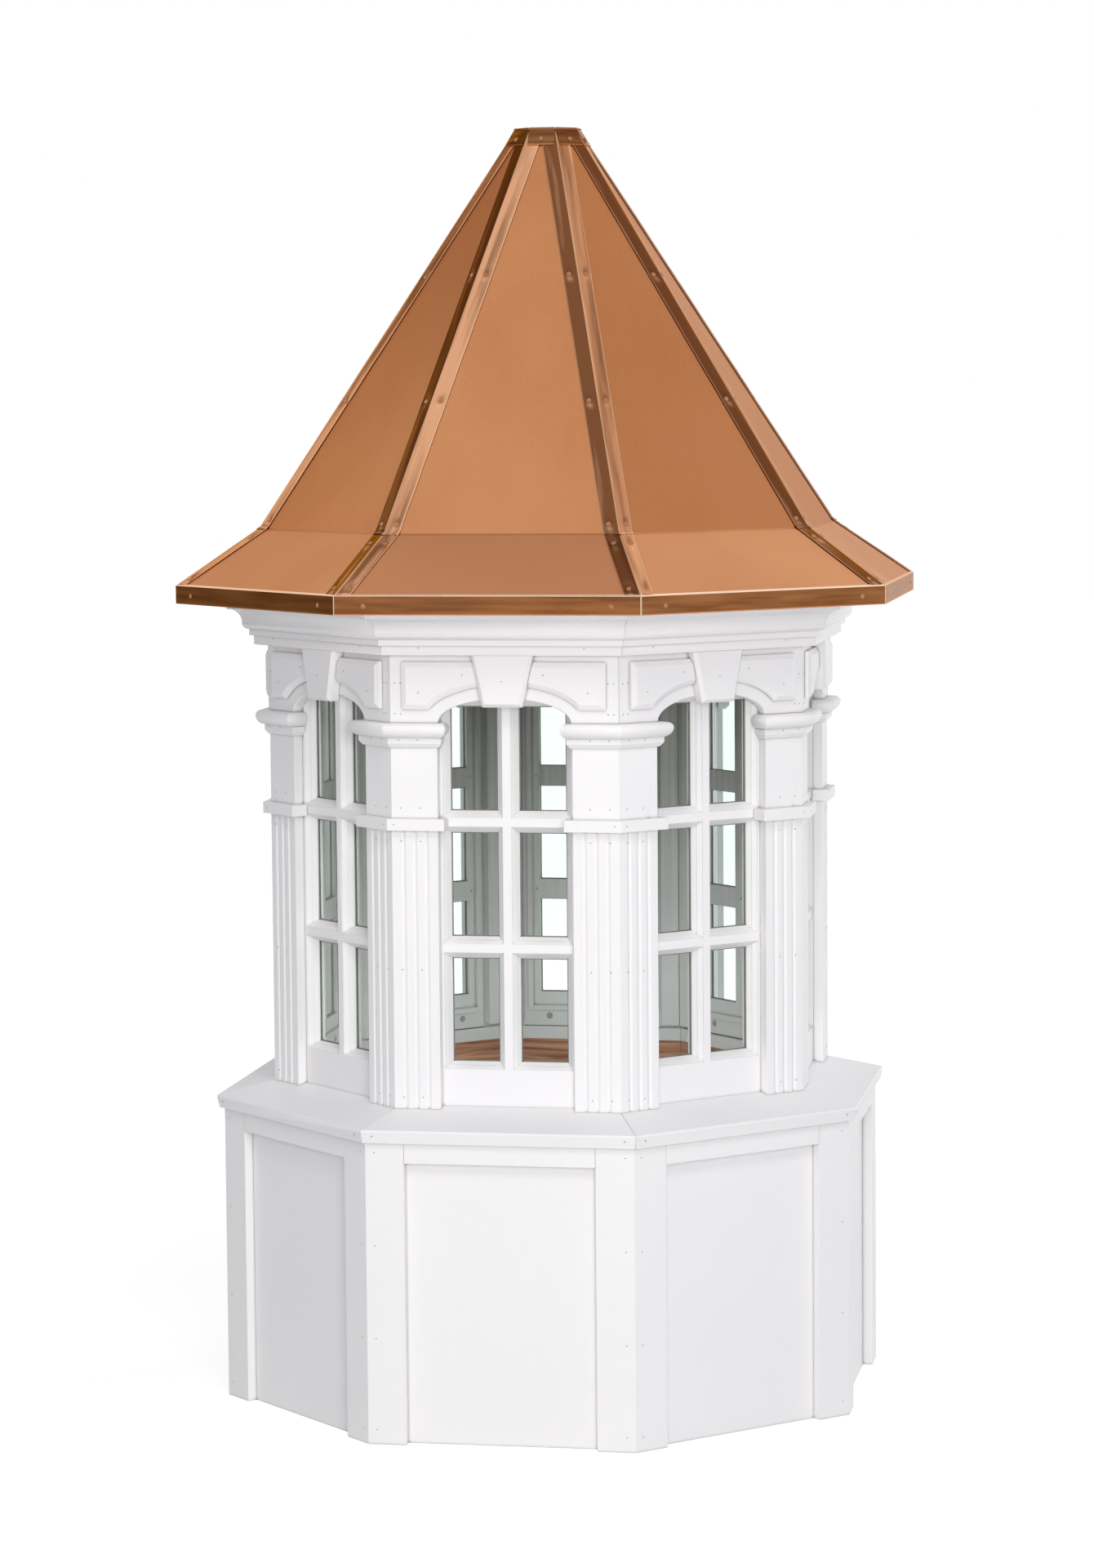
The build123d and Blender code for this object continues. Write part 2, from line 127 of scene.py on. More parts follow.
node(tree, "ShaderNodeOutputWorld", links={"Surface": both.outputs[0]})

# Studio lamps. A wide low softbox in front, a high one above it, and a third behind on the
# right, which lights the lantern through its windows and brightens the far right side. None
# of them is mirrored in the copper or the glass.
lamp_white = "#FFFDFA"
softbox_size = 3.0
softbox_aim = Vector((0, 0, 1.1))
softboxes = {
    "front_softbox": (Vector((2.0, -7.6, 2.3)), 264),
    "high_softbox": (Vector((1.6, -6.0, 7.0)), 195),
    "rear_softbox": (Vector((4.8, 5.6, 1.9)), 250),
}

for name, (place, power) in softboxes.items():
    lamp = bpy.data.objects.new(name, bpy.data.lights.new(name, "AREA"))
    lamp.data.size = softbox_size
    lamp.data.energy = power
    lamp.data.color = linear(lamp_white)[:3]
    turn = (softbox_aim - place).to_track_quat("-Z", "Y").to_matrix().to_4x4()
    lamp.matrix_world = Matrix.Translation(place) @ turn
    lamp.visible_glossy = False
    bpy.context.scene.collection.objects.link(lamp)

# Lantern lamp. A small soft lamp hangs low in the lantern and brightens its inner faces from
# below. It can't be seen itself.
inner_power = 1.35
inner_radius = 0.12
inner_height = 0.70

inner_lamp = bpy.data.objects.new("inner_lamp", bpy.data.lights.new("inner_lamp", "POINT"))
inner_lamp.data.energy = inner_power
inner_lamp.data.shadow_soft_size = inner_radius
inner_lamp.location = (0, 0, inner_height)
inner_lamp.visible_camera = False
inner_lamp.visible_glossy = False
inner_lamp.visible_transmission = False
bpy.context.scene.collection.objects.link(inner_lamp)

# Floor. A white painted studio floor, level with the foot of the base. To the eye it is plain
# white like the room, apart from the soft shadow of the object.
floor_half_size = 30.0
floor_colour = "#DEDDDC"
shadow_grey = "#8A8A8A"
near_glow = 0.84
far_glow = 1.0
near_distance = 1.2
far_distance = 4.0


def blank_material(name):
    """New material, with the empty node tree that its nodes go into."""
    material = bpy.data.materials.new(name)
    material.use_nodes = True
    material.node_tree.nodes.clear()
    return material, material.node_tree


def piece_of(name, shape, material):
    """Turn a finished bmesh into a piece of the scene."""
    mesh = bpy.data.meshes.new(name)
    shape.to_mesh(mesh)
    shape.free()
    mesh.materials.append(material)
    piece = bpy.data.objects.new(name, mesh)
    bpy.context.scene.collection.objects.link(piece)
    return piece


paint, tree = blank_material("painted_floor")
matt = node(tree, "ShaderNodeBsdfDiffuse", {"Color": linear(floor_colour)})
faint = node(tree, "ShaderNodeBsdfDiffuse", {"Color": linear(shadow_grey)})
place = node(tree, "ShaderNodeTexCoord")
away = node(tree, "ShaderNodeVectorMath", links={0: place.outputs["Object"]}, operation="LENGTH")
fade = node(tree, "ShaderNodeMapRange",
            {"From Min": near_distance, "From Max": far_distance, "To Min": near_glow, "To Max": far_glow},
            {"Value": away.outputs["Value"]})
glow = node(tree, "ShaderNodeEmission", links={"Strength": fade.outputs[0]})
pale = node(tree, "ShaderNodeAddShader", links={0: faint.outputs[0], 1: glow.outputs[0]})
blend = node(tree, "ShaderNodeMixShader", links={0: shows_room(tree), 1: matt.outputs[0], 2: pale.outputs[0]})
node(tree, "ShaderNodeOutputMaterial", links={"Surface": blend.outputs[0]})

ground = bmesh.new()
bmesh.ops.create_grid(ground, x_segments=1, y_segments=1, size=floor_half_size)
floor = piece_of("floor", ground, paint)

# Studio flags. Sheets of grey and brown felt that hang outside the picture, so that the copper
# has something darker than the room to mirror. They shade nothing, and only a reflection
# shows them.
flags = {
    "left_low_flag": (Vector((-6.0, 0.8, 1.1)), Vector((1, 0, 0)), 2.2, "#ABA7A6"),
    "left_high_flag": (Vector((-6.0, 2.5, 7.9)), Vector((1, 0, 0)), 2.2, "#A8947F"),
    "ceiling_flag": (Vector((-0.9, 2.2, 7.0)), Vector((0, 0, -1)), 1.4, "#A6917F"),
    "right_flag": (Vector((4.6, 0.5, 6.4)), Vector((-0.676, -0.135, -0.725)), 1.7, "#E2D6CC"),
}

for name, (middle, facing, half_size, colour) in flags.items():
    felt, tree = blank_material(name + "_felt")
    cloth = node(tree, "ShaderNodeEmission", {"Color": linear(colour), "Strength": 1.0})
    node(tree, "ShaderNodeOutputMaterial", links={"Surface": cloth.outputs[0]})
    sheet = bmesh.new()
    turn = facing.to_track_quat("Z", "Y").to_matrix().to_4x4()
    bmesh.ops.create_grid(sheet, x_segments=1, y_segments=1, size=half_size,
                          matrix=Matrix.Translation(middle) @ turn)
    flag = piece_of(name, sheet, felt)
    flag.visible_camera = False
    flag.visible_diffuse = False
    flag.visible_transmission = False
    flag.visible_shadow = False

# White boards: base, columns, mouldings and windows. Cellular PVC sheet, extruded with a satin
# skin, cut to size and lightly eased along its edges. To the eye it is an even soft white. Painted
# shade darkens its narrow corners, and the inner faces of the lantern are painted browner and
# darker towards the top, in streaks, as painted shade.
pvc_white = "#F3F2F3"
pvc_shade = "#EDECEE"
pvc_roughness = 0.40
pvc_gloss_spread = (-0.06, 0.08)
pvc_bend = 1.53
pvc_cloud_size = 0.35
pvc_ripple_size = 0.045
pvc_ripple_depth = 0.00006
pvc_grain_size = 0.0025
pvc_grain_depth = 0.000015
# Painted shade on the inner faces of the lantern: browner and darker towards the top, in streaks.
inner_shade_brown = "#615A4F"
shade_inside = 0.4660
shade_foot = 0.75
shade_head = 1.45
shade_streak_width = 0.012
shade_streak_length = 0.5
shade_least = 0.6
# Painted shade in narrow corners, darkest where little open air reaches.
painted_corner_shade = "#9C948B"
corner_reach = 0.008
corner_open = 0.75
corner_shut = 0.20
board_edge_round = 0.0007
sash_edge_round = 0.0003
sharp_edge = radians(35)

pvc, tree = blank_material("cellular_pvc_board")
place = node(tree, "ShaderNodeTexCoord")
cloud = node(tree, "ShaderNodeTexNoise", {"Scale": 1 / pvc_cloud_size, "Detail": 3.0},
             {"Vector": place.outputs["Object"]})
tone = node(tree, "ShaderNodeMix", {6: linear(pvc_white), 7: linear(pvc_shade)},
            {0: cloud.outputs["Fac"]}, data_type="RGBA")
axes = node(tree, "ShaderNodeVectorMath", links={0: place.outputs["Object"]}, operation="ABSOLUTE")
parts = node(tree, "ShaderNodeSeparateXYZ", links={0: axes.outputs[0]})
straight = node(tree, "ShaderNodeMath", links={0: parts.outputs["X"], 1: parts.outputs["Y"]},
                operation="MAXIMUM")
total = node(tree, "ShaderNodeMath", links={0: parts.outputs["X"], 1: parts.outputs["Y"]}, operation="ADD")
diagonal = node(tree, "ShaderNodeMath", {1: cos(pi / 4)}, {0: total.outputs[0]}, operation="MULTIPLY")
apothem = node(tree, "ShaderNodeMath", links={0: straight.outputs[0], 1: diagonal.outputs[0]},
               operation="MAXIMUM")
# Painted shade: the inner faces of the lantern turn browner and darker towards the top, in streaks.
inside = node(tree, "ShaderNodeMath", {1: shade_inside}, {0: apothem.outputs[0]}, operation="LESS_THAN")
rise = node(tree, "ShaderNodeMapRange", {"From Min": shade_foot, "From Max": shade_head},
            {"Value": parts.outputs["Z"]})
shade_stretch = node(tree, "ShaderNodeMapping",
               {"Scale": (1 / shade_streak_width, 1 / shade_streak_width, 1 / shade_streak_length)},
               {"Vector": place.outputs["Object"]})
streaks = node(tree, "ShaderNodeTexNoise", {"Scale": 1.0, "Detail": 3.0}, {"Vector": shade_stretch.outputs[0]})
patchy = node(tree, "ShaderNodeMapRange", {"From Min": 0.3, "From Max": 0.7, "To Min": shade_least},
              {"Value": streaks.outputs["Fac"]})
shade_rise = node(tree, "ShaderNodeMath", links={0: rise.outputs[0], 1: patchy.outputs[0]}, operation="MULTIPLY")
inner_shade = node(tree, "ShaderNodeMath", links={0: shade_rise.outputs[0], 1: inside.outputs[0]}, operation="MULTIPLY")
shade = node(tree, "ShaderNodeMix", {7: linear(inner_shade_brown)}, {0: inner_shade.outputs[0], 6: tone.outputs[2]},
             data_type="RGBA")
# Painted shade: narrow corners are darkened by how little open air reaches them.
open_air = node(tree, "ShaderNodeAmbientOcclusion", {"Distance": corner_reach}, samples=6)
narrow = node(tree, "ShaderNodeMapRange", {"From Min": corner_open, "From Max": corner_shut},
              {"Value": open_air.outputs["AO"]})
corner_shaded = node(tree, "ShaderNodeMix", {7: linear(painted_corner_shade)}, {0: narrow.outputs[0], 6: shade.outputs[2]},
             data_type="RGBA")
ripple = node(tree, "ShaderNodeTexNoise", {"Scale": 1 / pvc_ripple_size, "Detail": 4.0},
              {"Vector": place.outputs["Object"]})
shine = node(tree, "ShaderNodeMapRange",
             {"To Min": pvc_roughness + pvc_gloss_spread[0], "To Max": pvc_roughness + pvc_gloss_spread[1]},
             {"Value": ripple.outputs["Fac"]})
grain = node(tree, "ShaderNodeTexNoise", {"Scale": 1 / pvc_grain_size, "Detail": 2.0},
             {"Vector": place.outputs["Object"]})
soft = node(tree, "ShaderNodeBump", {"Distance": pvc_ripple_depth}, {"Height": ripple.outputs["Fac"]})
bump = node(tree, "ShaderNodeBump", {"Distance": pvc_grain_depth},
            {"Height": grain.outputs["Fac"], "Normal": soft.outputs[0]})
surface = node(tree, "ShaderNodeBsdfPrincipled", {"IOR": pvc_bend},
               {"Base Color": corner_shaded.outputs[2], "Roughness": shine.outputs[0], "Normal": bump.outputs[0]})
node(tree, "ShaderNodeOutputMaterial", links={"Surface": surface.outputs[0]})


def dress(name, material, edge_round=0.0):
    """Give a solid its material, and ease its edges where they are round enough to show."""
    piece = nodes[name]
    piece.data.materials.clear()
    piece.data.materials.append(material)
    if edge_round:
        join = piece.modifiers.new("join_faces", "WELD")
        join.merge_threshold = edge_round / 50
        ease = piece.modifiers.new("ease_edges", "BEVEL")
        ease.width = edge_round
        ease.segments = 2
        ease.limit_method = "ANGLE"
        ease.angle_limit = sharp_edge
        ease.harden_normals = True


pvc_nodes = (
    "base_wall", "base_corner_boards", "base_top_rails", "base_cap", "column", "arch_headers", "keystones",
    "spandrel_panels", "cornice", "window_front", "window_back", "window_left", "window_right", "soffit",
)
for name in nodes:
    if name.startswith(pvc_nodes):
        dress(name, pvc, sash_edge_round if name.startswith("window_") else board_edge_round)

# Trim nails. Stainless finish nails, driven flush through the boards and left bare, so that
# each shows as a small grey dot. They sit at the same places on all eight sides.
nail_radius = 0.0013
nail_tip = 0.8
nail_lift = 0.0002
nail_corners = 8
steel_light = "#8E8C8A"
steel_dark = "#6F6D6B"
steel_roughness = 0.45
side_count = 8
side_angle = 2 * pi / side_count
column_face = 0.5178
header_face = 0.5198
nail_places = {
    "column_boards": (column_face, (0.160, 0.197), (0.640, 0.880, 1.121, 1.183)),
    "column_bands": (column_face + 0.0145, (0.208,), (1.153,)),
    "capital_feet": (column_face + 0.0095, (0.162, 0.198), (1.3108,)),
    "header_boards": (header_face, (0.195, 0.206), (1.416, 1.359)),
    "panel_ends": (header_face + 0.0127, (0.159,), (1.399,)),
    "panel_tops": (header_face + 0.0127, (0.076,), (1.432,)),
    "keystones": (header_face + 0.0240, (0.0,), (1.421,)),
    "cornice_fascia": (header_face + 0.0252, (0.155,), (1.4825,)),
    "base_corners": (0.6096, (0.236,), (0.028, 0.200, 0.375, 0.550)),
    "cap_edges": (0.6238, (0.237,), (0.583,)),
}

steel, tree = blank_material("stainless_finish_nail")
place = node(tree, "ShaderNodeTexCoord")
wear = node(tree, "ShaderNodeTexNoise", {"Scale": 1 / nail_radius}, {"Vector": place.outputs["Object"]})
tone = node(tree, "ShaderNodeMix", {6: linear(steel_light), 7: linear(steel_dark)},
            {0: wear.outputs["Fac"]}, data_type="RGBA")
surface = node(tree, "ShaderNodeBsdfPrincipled", {"Metallic": 1.0, "Roughness": steel_roughness},
               {"Base Color": tone.outputs[2]})
node(tree, "ShaderNodeOutputMaterial", links={"Surface": surface.outputs[0]})


def set_heads(heads, corners, radii, depth, apothem, places, heights):
    """Set small round heads on an upright face of every side, at each height and on both halves."""
    spots = {(sign * along, height) for sign in (1, -1) for along in places for height in heights}
    flat = Matrix.Rotation(pi / 2, 4, "X")
    for side in range(side_count):
        turn = Matrix.Rotation(side * side_angle, 4, "Z")
        for along, height in sorted(spots):
            bmesh.ops.create_cone(
                heads, cap_ends=True, segments=corners, radius1=radii[0], radius2=radii[1], depth=depth,
                matrix=turn @ Matrix.Translation((along, -apothem, height)) @ flat,
            )


heads = bmesh.new()
for face, places, heights in nail_places.values():
    set_heads(heads, nail_corners, (nail_radius, nail_tip * nail_radius), 2 * nail_lift, face,
              places, heights)
trim_nails = piece_of("trim_nails", heads, steel)
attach(trim_nails, "root")

# Inner trim of the lantern. PVC boards cover each corner from the inside, and narrow stops hold
# each window in its place. They are seen through the glass, and from below.
inner_apothem = 0.4639
inner_foot = 0.6400
inner_top = 1.5000
corner_board_width = 0.046
corner_board_depth = 0.022
stop_width = 0.011
stop_depth = 0.010
stop_edge = 0.1245
stop_foot = 0.6660
stop_head = 1.4150
board_joint = 0.0006
board_chamfer = 0.001

boards = bmesh.new()


def nail_board(side, left, right, foot, head, depth, mitred=False):
    """Add a board against the inner face of a side, mitred at its right end if that lies in a corner."""
    made = bmesh.ops.create_cube(boards, size=1.0)["verts"]
    turn = Matrix.Rotation(side * side_angle, 4, "Z")
    for vertex in made:
        apothem = inner_apothem - depth * (vertex.co.y + 0.5)
        end = left + (right - left) * (vertex.co.x + 0.5)
        if mitred and vertex.co.x > 0:
            end = (apothem * tan(side_angle / 2) - board_joint) * (1 if right > 0 else -1)
        height = foot + (head - foot) * (vertex.co.z + 0.5)
        vertex.co = turn @ Vector((end, -apothem, height))


corner_edge = inner_apothem * tan(side_angle / 2)
for side in range(side_count):
    for sign in (1, -1):
        nail_board(side, sign * (corner_edge - corner_board_width), sign * corner_edge,
                   inner_foot, inner_top, corner_board_depth, mitred=True)
        nail_board(side, sign * stop_edge, sign * (stop_edge + stop_width), stop_foot, stop_head, stop_depth)
    nail_board(side, -stop_edge, stop_edge, stop_foot, stop_foot + stop_width, stop_depth)
bmesh.ops.recalc_face_normals(boards, faces=boards.faces)
bmesh.ops.bevel(boards, geom=list(boards.edges), offset=board_chamfer, segments=1, profile=0.5,
                affect="EDGES", material=-1)
inner_trim = piece_of("inner_trim", boards, pvc)
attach(inner_trim, "root")

# Glass shadow lines. Thin strips of grey vinyl stand all round each light, on both faces of its
# glass, and one more lies along the joint under each window. They are painted shadow: fine dark
# lines where shade falls in these joints.
sash_apothem = 0.4988
glass_depths = (0.0229, 0.0271)
light_half = (0.0202, 0.1095)
light_floors = (0.7043, 0.9400, 1.1757)
light_height = 0.1953
shadow_line_width = 0.0018
shadow_line_proud = 0.0005
sill_shadow_height = 0.6325
sill_shadow_width = 0.0022
vinyl_light = "#8F8D86"
vinyl_dark = "#6E6C66"
vinyl_cloud_size = 1 / 60
vinyl_roughness = 0.55

light_width = light_half[1] - light_half[0]
to_stile = (light_width - shadow_line_width) / 2
to_rail = (light_height - shadow_line_width) / 2
# Painted shadow: dark strips where shade falls round each light and under each window.
shadow_lines = bmesh.new()
for side in range(side_count):
    turn = Matrix.Rotation(side * side_angle, 4, "Z")
    for depth, out in zip(glass_depths, (-1, 1)):
        for light_floor in light_floors:
            for sign in (1, -1):
                middle = sign * sum(light_half) / 2
                centre = light_floor + light_height / 2
                for along, height, width, length in (
                    (middle - to_stile, centre, shadow_line_width, light_height),
                    (middle + to_stile, centre, shadow_line_width, light_height),
                    (middle, centre - to_rail, light_width, shadow_line_width),
                    (middle, centre + to_rail, light_width, shadow_line_width),
                ):
                    spot = Vector((along, depth + out * shadow_line_proud / 2 - sash_apothem, height))
                    size = Matrix.Diagonal((width, shadow_line_proud, length, 1))
                    bmesh.ops.create_cube(shadow_lines, size=1.0, matrix=turn @ Matrix.Translation(spot) @ size)
    size = Matrix.Diagonal((2 * (corner_edge - corner_board_width), shadow_line_proud, sill_shadow_width, 1))
    spot = Vector((0, shadow_line_proud / 2 - inner_apothem, sill_shadow_height))
    bmesh.ops.create_cube(shadow_lines, size=1.0, matrix=turn @ Matrix.Translation(spot) @ size)

vinyl, tree = blank_material("painted_shadow_line")
place = node(tree, "ShaderNodeTexCoord")
wear = node(tree, "ShaderNodeTexNoise", {"Scale": 1 / vinyl_cloud_size, "Detail": 2.0},
            {"Vector": place.outputs["Object"]})
tone = node(tree, "ShaderNodeMix", {6: linear(vinyl_dark), 7: linear(vinyl_light)},
            {0: wear.outputs["Fac"]}, data_type="RGBA")
surface = node(tree, "ShaderNodeBsdfPrincipled", {"Roughness": vinyl_roughness},
               {"Base Color": tone.outputs[2]})
node(tree, "ShaderNodeOutputMaterial", links={"Surface": surface.outputs[0]})
glass_shadow_lines = piece_of("glass_shadow_lines", shadow_lines, vinyl)
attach(glass_shadow_lines, "root")

# Screws of the windows. Zinc-plated pan heads on the inner faces: small ones where the bars
# cross and meet the stiles, and larger ones with a washer along the lower rail.
sash_screws = {
    "bars": (0.0026, 0.0016, (0.0, 0.117), (0.9198, 1.1555)),
    "lower_rail": (0.0044, 0.0022, (0.092,), (0.6540,)),
    "washers": (0.0068, 0.0009, (0.092,), (0.6540,)),
}
sash_screw_top = 0.8
sash_screw_corners = 12
zinc_light = "#CDD0D4"
zinc_dark = "#94979B"
zinc_cloud_size = 1 / 400
zinc_metal = 0.3
zinc_roughness = 0.4

zinc, tree = blank_material("zinc_plated_screw")
place = node(tree, "ShaderNodeTexCoord")
wear = node(tree, "ShaderNodeTexNoise", {"Scale": 1 / zinc_cloud_size, "Detail": 2.0},
            {"Vector": place.outputs["Object"]})
tone = node(tree, "ShaderNodeMix", {6: linear(zinc_light), 7: linear(zinc_dark)},
            {0: wear.outputs["Fac"]}, data_type="RGBA")
surface = node(tree, "ShaderNodeBsdfPrincipled", {"Metallic": zinc_metal, "Roughness": zinc_roughness},
               {"Base Color": tone.outputs[2]})
node(tree, "ShaderNodeOutputMaterial", links={"Surface": surface.outputs[0]})

heads = bmesh.new()
for radius, proud, places, heights in sash_screws.values():
    set_heads(heads, sash_screw_corners, (sash_screw_top * radius, radius), proud, inner_apothem - proud / 2,
              places, heights)
window_screws = piece_of("sash_screws", heads, zinc)
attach(window_screws, "root")

# Glass of the windows. Clear float glass, slightly green, that shows the room behind and a
# faint reflection of the studio. Light passes through it into the lantern.
glass_tint = "#F9FFFC"
glass_bend = 1.45
glass_gloss = "#8A8A8A"

glass, tree = blank_material("clear_float_glass")
pane = node(tree, "ShaderNodeBsdfPrincipled",
            {"Base Color": linear(glass_tint), "Specular Tint": linear(glass_gloss), "Roughness": 0.0,
             "Transmission Weight": 1.0, "IOR": glass_bend})
clear = node(tree, "ShaderNodeBsdfTransparent", {"Color": linear(glass_tint)})
path = node(tree, "ShaderNodeLightPath")
lit = node(tree, "ShaderNodeMath", operation="MAXIMUM",
           links={0: path.outputs["Is Shadow Ray"], 1: path.outputs["Is Diffuse Ray"]})
both = node(tree, "ShaderNodeMixShader", links={0: lit.outputs[0], 1: pane.outputs[0], 2: clear.outputs[0]})
node(tree, "ShaderNodeOutputMaterial", links={"Surface": both.outputs[0]})
dress("window_glass", glass)

# Curb under the cap. Brown lumber, sawn and planed, with its grain along each board and a few
# dark knots. It shows through the foot of the windows.
lumber_light = "#E0A27C"
lumber_dark = "#8A5034"
lumber_grain = 0.008
lumber_length = 0.22
lumber_contrast = (0.38, 0.62)
lumber_relief = 0.0003
lumber_roughness = 0.6
lumber_edge_round = 0.0015
knot_spacing = 0.11
knot_core = 0.05
knot_rim = 0.14

lumber, tree = blank_material("planed_brown_lumber")
place = node(tree, "ShaderNodeTexCoord")
stretch = node(tree, "ShaderNodeMapping", {"Scale": (1 / lumber_length, 1 / lumber_length, 1 / lumber_grain)},
               {"Vector": place.outputs["Object"]})
grain = node(tree, "ShaderNodeTexNoise", {"Scale": 1.0, "Detail": 6.0, "Distortion": 0.6},
             {"Vector": stretch.outputs[0]})
lines = node(tree, "ShaderNodeMapRange", {"From Min": lumber_contrast[0], "From Max": lumber_contrast[1]},
             {"Value": grain.outputs["Fac"]})
knots = node(tree, "ShaderNodeTexVoronoi", {"Scale": 1 / knot_spacing}, {"Vector": place.outputs["Object"]})
knot = node(tree, "ShaderNodeMapRange",
            {"From Min": knot_core, "From Max": knot_rim, "To Min": 1.0, "To Max": 0.0},
            {"Value": knots.outputs["Distance"]})
dark = node(tree, "ShaderNodeMath", links={0: knot.outputs[0], 1: lines.outputs[0]}, operation="MAXIMUM")
tone = node(tree, "ShaderNodeMix", {6: linear(lumber_light), 7: linear(lumber_dark)},
            {0: dark.outputs[0]}, data_type="RGBA")
bump = node(tree, "ShaderNodeBump", {"Distance": lumber_relief}, {"Height": grain.outputs["Fac"]})
surface = node(tree, "ShaderNodeBsdfPrincipled", {"Roughness": lumber_roughness},
               {"Base Color": tone.outputs[2], "Normal": bump.outputs[0]})
node(tree, "ShaderNodeOutputMaterial", links={"Surface": surface.outputs[0]})
dress("timber_curb", lumber, lumber_edge_round)

# Roof deck. Softwood plywood, whose bare pale underside shows only from below. The peeled
# grain runs in long wavy bands.
ply_light = "#D3B488"
ply_dark = "#A98356"
ply_wave = 0.21
ply_waver = 9.0
ply_relief = 0.0002
ply_roughness = 0.7

plywood, tree = blank_material("softwood_plywood")
place = node(tree, "ShaderNodeTexCoord")
bands = node(tree, "ShaderNodeTexWave",
             {"Scale": 1 / ply_wave, "Distortion": ply_waver, "Detail": 3.0, "Detail Scale": 0.8},
             {"Vector": place.outputs["Object"]}, bands_direction="Z")
tone = node(tree, "ShaderNodeMix", {6: linear(ply_light), 7: linear(ply_dark)},
            {0: bands.outputs["Fac"]}, data_type="RGBA")
bump = node(tree, "ShaderNodeBump", {"Distance": ply_relief}, {"Height": bands.outputs["Fac"]})
surface = node(tree, "ShaderNodeBsdfPrincipled", {"Roughness": ply_roughness},
               {"Base Color": tone.outputs[2], "Normal": bump.outputs[0]})
node(tree, "ShaderNodeOutputMaterial", links={"Surface": surface.outputs[0]})
dress("roof_deck", plywood)

# Copper roof sheets. New sheet copper with its mill finish, cold rolled, that shines softly. It
# shows faint clouds and wipe marks from handling, and each sheet is very slightly dished between
# its edges. The sheets of the flare are painted a little paler, as a painted reflection.
copper_light = "#CE8E62"
copper_deep = "#C48356"
copper_edge = "#F0D6C0"
# Painted reflection: the flare, below the break, is mixed towards a paler copper.
painted_flare_reflection = "#E0A47C"
flare_reflection_share = 0.55
flare_break = 1.6895
copper_roughness = 0.34
copper_gloss_spread = (-0.05, 0.07)
copper_cloud_size = 0.30
copper_cloud_squeeze = 0.45
copper_contrast = (0.35, 0.65)
copper_dish_size = 0.28
copper_dish_depth = 0.0010
copper_line_width = 0.0035
copper_line_length = 0.16
copper_line_lean = radians(24)
copper_line = "#D89A70"
copper_line_contrast = (0.55, 0.80)
copper_line_most = 0.45
copper_roll_size = 0.0012
copper_roll_depth = 0.000006

copper, tree = blank_material("mill_finish_sheet_copper")
place = node(tree, "ShaderNodeTexCoord")
long = node(tree, "ShaderNodeMapping", {"Scale": (1.0, 1.0, copper_cloud_squeeze)},
            {"Vector": place.outputs["Object"]})
cloud = node(tree, "ShaderNodeTexNoise", {"Scale": 1 / copper_cloud_size, "Detail": 5.0, "Roughness": 0.45},
             {"Vector": long.outputs[0]})
share = node(tree, "ShaderNodeMapRange", {"From Min": copper_contrast[0], "From Max": copper_contrast[1]},
             {"Value": cloud.outputs["Fac"]})
tone = node(tree, "ShaderNodeMix", {6: linear(copper_light), 7: linear(copper_deep)},
            {0: share.outputs[0]}, data_type="RGBA")
lean = node(tree, "ShaderNodeMapping", {"Rotation": (0, copper_line_lean, copper_line_lean)},
            {"Vector": place.outputs["Object"]})
drawn = node(tree, "ShaderNodeMapping",
             {"Scale": (1 / copper_line_width, 1 / copper_line_width, 1 / copper_line_length)},
             {"Vector": lean.outputs[0]})
wipes = node(tree, "ShaderNodeTexNoise", {"Scale": 1.0, "Detail": 2.0}, {"Vector": drawn.outputs[0]})
faint = node(tree, "ShaderNodeMapRange",
             {"From Min": copper_line_contrast[0], "From Max": copper_line_contrast[1],
              "To Max": copper_line_most},
             {"Value": wipes.outputs["Fac"]})
wiped = node(tree, "ShaderNodeMix", {7: linear(copper_line)}, {0: faint.outputs[0], 6: tone.outputs[2]},
             data_type="RGBA")
parts = node(tree, "ShaderNodeSeparateXYZ", links={0: place.outputs["Object"]})
# Painted reflection: the flare below the break turns paler.
low = node(tree, "ShaderNodeMath", {1: flare_break}, {0: parts.outputs["Z"]}, operation="LESS_THAN")
flare_reflection = node(tree, "ShaderNodeMath", {1: flare_reflection_share}, {0: low.outputs[0]}, operation="MULTIPLY")
sheet = node(tree, "ShaderNodeMix", {7: linear(painted_flare_reflection)}, {0: flare_reflection.outputs[0], 6: wiped.outputs[2]},
             data_type="RGBA")
shine = node(tree, "ShaderNodeMapRange",
             {"From Min": 0.3, "From Max": 0.7, "To Min": copper_roughness + copper_gloss_spread[0],
              "To Max": copper_roughness + copper_gloss_spread[1]},
             {"Value": cloud.outputs["Fac"]})
dish = node(tree, "ShaderNodeTexNoise", {"Scale": 1 / copper_dish_size, "Detail": 1.0},
            {"Vector": place.outputs["Object"]})
rolled = node(tree, "ShaderNodeTexNoise", {"Scale": 1 / copper_roll_size, "Detail": 1.0},
              {"Vector": place.outputs["Object"]})
bowed = node(tree, "ShaderNodeBump", {"Distance": copper_dish_depth}, {"Height": dish.outputs["Fac"]})
bump = node(tree, "ShaderNodeBump", {"Distance": copper_roll_depth},
            {"Height": rolled.outputs["Fac"], "Normal": bowed.outputs[0]})
surface = node(tree, "ShaderNodeBsdfPrincipled", {"Metallic": 1.0, "Specular Tint": linear(copper_edge)},
               {"Base Color": sheet.outputs[2], "Roughness": shine.outputs[0], "Normal": bump.outputs[0]})
node(tree, "ShaderNodeOutputMaterial", links={"Surface": surface.outputs[0]})
for name in ("flare_panels", "roof_panels"):
    dress(name, copper)

